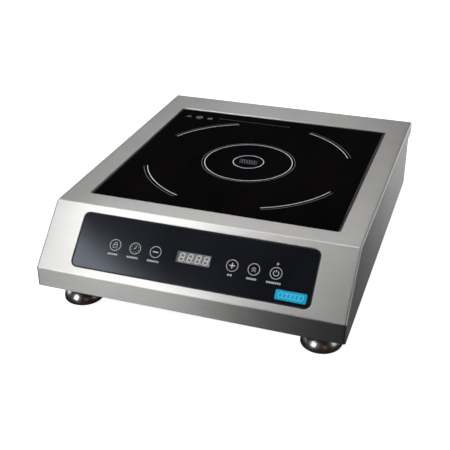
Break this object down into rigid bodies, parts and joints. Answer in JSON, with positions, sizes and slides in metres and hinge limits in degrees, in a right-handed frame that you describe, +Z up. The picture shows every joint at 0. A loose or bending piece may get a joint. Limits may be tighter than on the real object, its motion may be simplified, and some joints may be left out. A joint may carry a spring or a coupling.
{
  "type": "countertop induction hob",
  "caption": "Countertop induction hob: folded steel body with sloping touch panel, square black ceramic glass, rear eave and levelling bell feet.",
  "frame": {"origin": "middle of the footprint, on the surface the hob stands on", "axes": "+X to the cook's right, +Y to the rear, +Z up"},
  "size_m": [0.34, 0.415, 0.112],
  "materials": {
    "brushed_steel": "satin grain, polished folds",
    "zinc_sheet": "plain zinc-coated sheet",
    "screw_zinc": "zinc plated",
    "spring_steel": "bright wire",
    "transformer_steel": "varnished laminations",
    "chrome": "bright",
    "aluminium": "mill finish",
    "litz_copper": "varnished stranded wire",
    "enamel_copper": "enamelled wire",
    "brass_plain": "plain",
    "ceramic_black": "polished, opaque",
    "panel_black": "polished, printed behind",
    "seal_grey": "silicone",
    "gasket_black": "foam",
    "pad_rubber": "moulded",
    "silicone_white": "moulded",
    "badge_blue": "gloss",
    "display_grey": "gloss window",
    "led_lens": "clear dome",
    "board_green": "solder mask",
    "chip_black": "moulded",
    "plastic_black": "moulded",
    "nylon_white": "moulded",
    "capacitor_grey": "cast case",
    "ribbon_grey": "flat cable",
    "ferrite": "sintered",
    "mica": "mica sheet"
  },
  "bodies": {
    "housing": {"top_cover": "brushed_steel", "rear_panel": "zinc_sheet", "base_tray": "zinc_sheet", "housing_screws": "screw_zinc", "ceramic_glass": "ceramic_black", "glass_seal": "seal_grey", "glass_frame": "zinc_sheet", "control_panel": "panel_black", "panel_gasket": "gasket_black", "panel_bracket": "zinc_sheet", "badge_plate": "badge_blue", "led_display": "display_grey", "power_led": "led_lens", "control_board": "board_green", "control_board_posts": "nylon_white", "control_board_parts": "chip_black", "touch_springs": "spring_steel", "foot_nuts": "screw_zinc", "coil_winding": "litz_copper", "coil_carrier": "plastic_black", "ferrite_bars": "ferrite", "mica_sheet": "mica", "coil_bracket": "aluminium", "coil_posts": "screw_zinc", "coil_springs": "spring_steel", "sensor_holder": "silicone_white", "pan_sensor": "silicone_white", "coil_leads": "litz_copper", "power_board": "board_green", "power_board_posts": "nylon_white", "heat_sink": "aluminium", "power_transistors": "chip_black", "bridge_rectifier": "chip_black", "film_capacitors": "capacitor_grey", "choke_core": "ferrite", "choke_winding": "enamel_copper", "control_transformer": "transformer_steel", "terminal_block": "nylon_white", "signal_ribbon": "ribbon_grey", "earth_stud": "brass_plain", "cable_gland": "plastic_black", "gland_nut": "plastic_black", "fan_frame": "plastic_black", "fan_screws": "screw_zinc", "fan_stator": "enamel_copper", "air_guide": "plastic_black"},
    "fan": {"fan_rotor": "plastic_black", "fan_shaft": "spring_steel"},
    "foot_thread_front_left": {"foot_stud_front_left": "screw_zinc"},
    "foot_front_left": {"foot_bell_front_left": "chrome", "foot_pad_front_left": "pad_rubber"},
    "foot_thread_front_right": {"foot_stud_front_right": "screw_zinc"},
    "foot_front_right": {"foot_bell_front_right": "chrome", "foot_pad_front_right": "pad_rubber"},
    "foot_thread_rear_left": {"foot_stud_rear_left": "screw_zinc"},
    "foot_rear_left": {"foot_bell_rear_left": "chrome", "foot_pad_rear_left": "pad_rubber"},
    "foot_thread_rear_right": {"foot_stud_rear_right": "screw_zinc"},
    "foot_rear_right": {"foot_bell_rear_right": "chrome", "foot_pad_rear_right": "pad_rubber"}
  },
  "joints": [
    {"name": "fan_spin", "type": "hinge", "parent": "housing", "child": "fan", "pos_m": [0.085, -0.095, 0.046], "axis": [0, 0, 1], "continuous": true},
    {"name": "foot_height_front_left", "type": "slide", "parent": "housing", "child": "foot_thread_front_left", "axis": [0, 0, -1], "range_m": [0, 0.005]},
    {"name": "foot_turn_front_left", "type": "hinge", "parent": "foot_thread_front_left", "child": "foot_front_left", "pos_m": [-0.138, -0.1655, 0.03], "axis": [0, 0, -1], "range_deg": [0, 1440]},
    {"name": "foot_height_front_right", "type": "slide", "parent": "housing", "child": "foot_thread_front_right", "axis": [0, 0, -1], "range_m": [0, 0.005]},
    {"name": "foot_turn_front_right", "type": "hinge", "parent": "foot_thread_front_right", "child": "foot_front_right", "pos_m": [0.138, -0.1655, 0.03], "axis": [0, 0, -1], "range_deg": [0, 1440]},
    {"name": "foot_height_rear_left", "type": "slide", "parent": "housing", "child": "foot_thread_rear_left", "axis": [0, 0, -1], "range_m": [0, 0.005]},
    {"name": "foot_turn_rear_left", "type": "hinge", "parent": "foot_thread_rear_left", "child": "foot_rear_left", "pos_m": [-0.138, 0.1395, 0.03], "axis": [0, 0, -1], "range_deg": [0, 1440]},
    {"name": "foot_height_rear_right", "type": "slide", "parent": "housing", "child": "foot_thread_rear_right", "axis": [0, 0, -1], "range_m": [0, 0.005]},
    {"name": "foot_turn_rear_right", "type": "hinge", "parent": "foot_thread_rear_right", "child": "foot_rear_right", "pos_m": [0.138, 0.1395, 0.03], "axis": [0, 0, -1], "range_deg": [0, 1440]}
  ],
  "couplings": [
    {"joint": "foot_height_front_left", "follows": "foot_turn_front_left", "m_per_rad": 0.00019894},
    {"joint": "foot_height_front_right", "follows": "foot_turn_front_right", "m_per_rad": 0.00019894},
    {"joint": "foot_height_rear_left", "follows": "foot_turn_rear_left", "m_per_rad": 0.00019894},
    {"joint": "foot_height_rear_right", "follows": "foot_turn_rear_right", "m_per_rad": 0.00019894}
  ]
}
